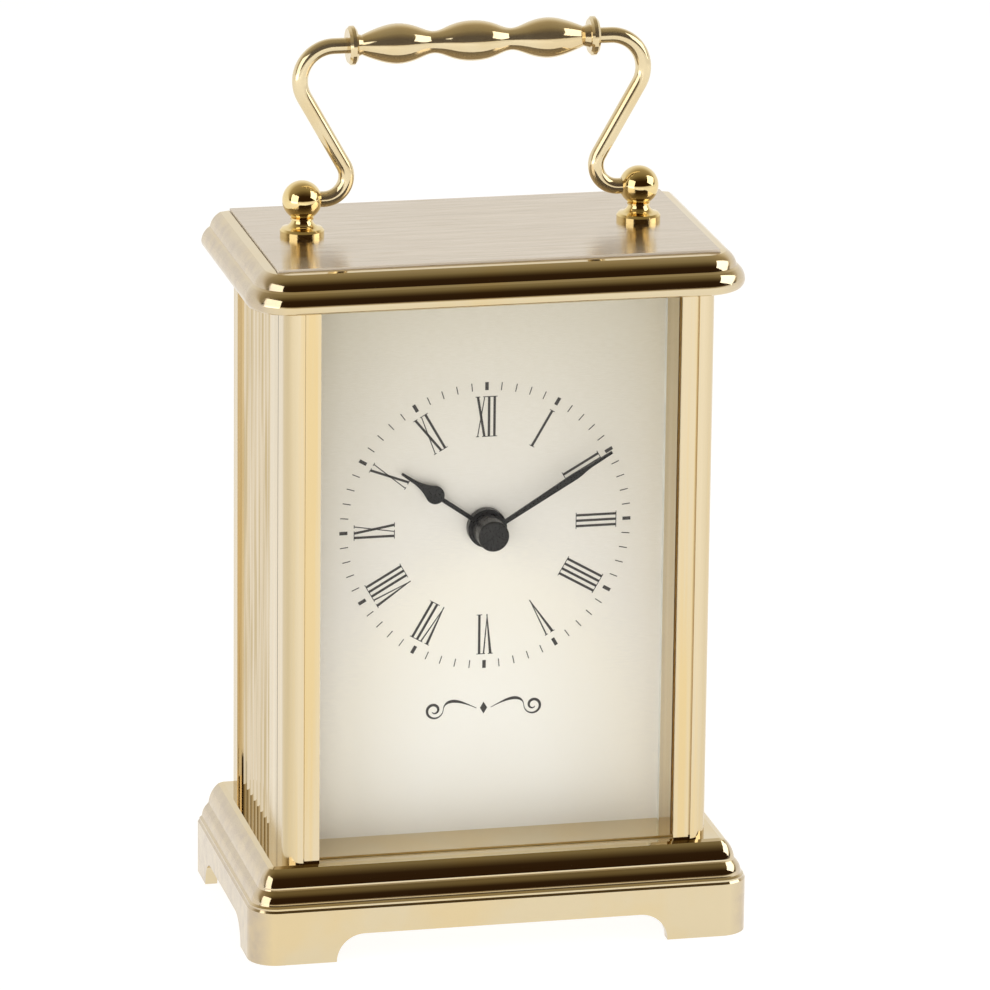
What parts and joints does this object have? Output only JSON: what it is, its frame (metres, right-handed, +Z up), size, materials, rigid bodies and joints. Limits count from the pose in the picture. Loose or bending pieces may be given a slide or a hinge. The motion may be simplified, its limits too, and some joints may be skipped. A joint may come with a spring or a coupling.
{
  "type": "mantel clock",
  "caption": "Carriage-style brass mantel clock with a swinging bail handle, glazed front, Roman dial, fluted sides, hinged back door and a quartz movement.",
  "frame": {"origin": "on the table, under the middle of the base", "axes": "+Z up, +X to the clock's right as seen from the front, +Y from the dial towards the back door"},
  "size_m": [0.09, 0.052, 0.1609],
  "materials": {
    "gilt_brass": "polished and lacquered gilt",
    "brushed_brass": "fine straight brushing under lacquer",
    "clear_glass": "clear polished",
    "dial_silver": "satin silver-white with dark printing",
    "white_plastic": "matt",
    "plated_steel": "bright zinc plate",
    "black_plastic": "fine textured moulding",
    "wheel_plastic": "natural acetal",
    "magnet_iron": "ground",
    "copper_winding": "enamelled wire",
    "board_green": "solder mask",
    "battery_jacket": "plain printed jacket",
    "black_enamel": "satin black"
  },
  "bodies": {
    "case": {"base_moulding": "gilt_brass", "cornice": "gilt_brass", "top_plate": "brushed_brass", "pillar_front_left": "gilt_brass", "pillar_front_right": "gilt_brass", "pillar_back_left": "gilt_brass", "pillar_back_right": "gilt_brass", "side_panel_left": "gilt_brass", "side_panel_right": "gilt_brass", "post_left": "gilt_brass", "post_right": "gilt_brass", "centre_bush": "gilt_brass", "front_glass": "clear_glass", "dial_plate": "dial_silver", "dial_spacer_left": "white_plastic", "dial_spacer_right": "white_plastic", "movement_plate": "plated_steel", "door_pins": "plated_steel", "door_catch": "black_plastic", "post_nuts": "plated_steel", "base_screws": "plated_steel", "cornice_screws": "plated_steel", "movement_screws": "plated_steel", "train_pillars": "plated_steel", "movement_case": "black_plastic", "movement_cover": "black_plastic", "train_plate": "wheel_plastic", "stator": "magnet_iron", "coil": "copper_winding", "circuit_board": "board_green", "quartz_crystal": "plated_steel", "timing_chip": "black_plastic", "battery": "battery_jacket", "battery_contact_positive": "plated_steel", "battery_contact_negative": "plated_steel"},
    "handle": {"handle_arm_left": "gilt_brass", "handle_arm_right": "gilt_brass", "handle_grip": "gilt_brass"},
    "door": {"back_door": "brushed_brass", "door_knob": "gilt_brass"},
    "minute_works": {"cannon_pinion": "wheel_plastic", "minute_hand": "black_enamel", "hand_cap": "black_enamel"},
    "hour_works": {"hour_wheel": "wheel_plastic", "hour_hand": "black_enamel"},
    "motion_works": {"motion_wheel": "wheel_plastic", "setting_knob": "black_plastic"},
    "centre": {"centre_wheel": "wheel_plastic"},
    "third": {"third_wheel": "wheel_plastic"},
    "second": {"second_wheel": "wheel_plastic"},
    "intermediate": {"intermediate_wheel": "wheel_plastic"},
    "rotor": {"rotor_pinion": "wheel_plastic", "rotor_magnet": "magnet_iron"}
  },
  "joints": [
    {"name": "handle_swing", "type": "hinge", "parent": "case", "child": "handle", "pos_m": [0, 0.0055, 0.13], "axis": [1, 0, 0], "range_deg": [-94, 94]},
    {"name": "door_hinge", "type": "hinge", "parent": "case", "child": "door", "pos_m": [-0.03, 0.0222, 0.067], "axis": [0, 0, 1], "range_deg": [0, 100]},
    {"name": "hand_setting", "type": "hinge", "parent": "case", "child": "minute_works", "pos_m": [0, 0, 0.0731], "axis": [0, 1, 0], "continuous": true},
    {"name": "hour_turn", "type": "hinge", "parent": "case", "child": "hour_works", "pos_m": [0, 0, 0.0731], "axis": [0, 1, 0], "continuous": true},
    {"name": "knob_turn", "type": "hinge", "parent": "case", "child": "motion_works", "pos_m": [-0.009, 0, 0.0731], "axis": [0, 1, 0], "continuous": true},
    {"name": "rotor_turn", "type": "hinge", "parent": "case", "child": "rotor", "pos_m": [0.0063, 0, 0.09317], "axis": [0, 1, 0], "continuous": true},
    {"name": "intermediate_turn", "type": "hinge", "parent": "case", "child": "intermediate", "pos_m": [0.01249, 0, 0.08699], "axis": [0, 1, 0], "continuous": true},
    {"name": "second_turn", "type": "hinge", "parent": "case", "child": "second", "pos_m": [0.01249, 0, 0.07799], "axis": [0, 1, 0], "continuous": true},
    {"name": "third_turn", "type": "hinge", "parent": "case", "child": "third", "pos_m": [0.0045, 0, 0.08089], "axis": [0, 1, 0], "continuous": true},
    {"name": "centre_turn", "type": "hinge", "parent": "case", "child": "centre", "pos_m": [0, 0, 0.0731], "axis": [0, 1, 0], "continuous": true}
  ],
  "couplings": [
    {"joint": "hour_turn", "follows": "hand_setting", "ratio": 0.083333},
    {"joint": "knob_turn", "follows": "hand_setting", "ratio": -0.33333},
    {"joint": "intermediate_turn", "follows": "rotor_turn", "ratio": -0.16667},
    {"joint": "second_turn", "follows": "rotor_turn", "ratio": 0.033333},
    {"joint": "third_turn", "follows": "rotor_turn", "ratio": -0.0044444},
    {"joint": "centre_turn", "follows": "rotor_turn", "ratio": 0.00055556}
  ]
}
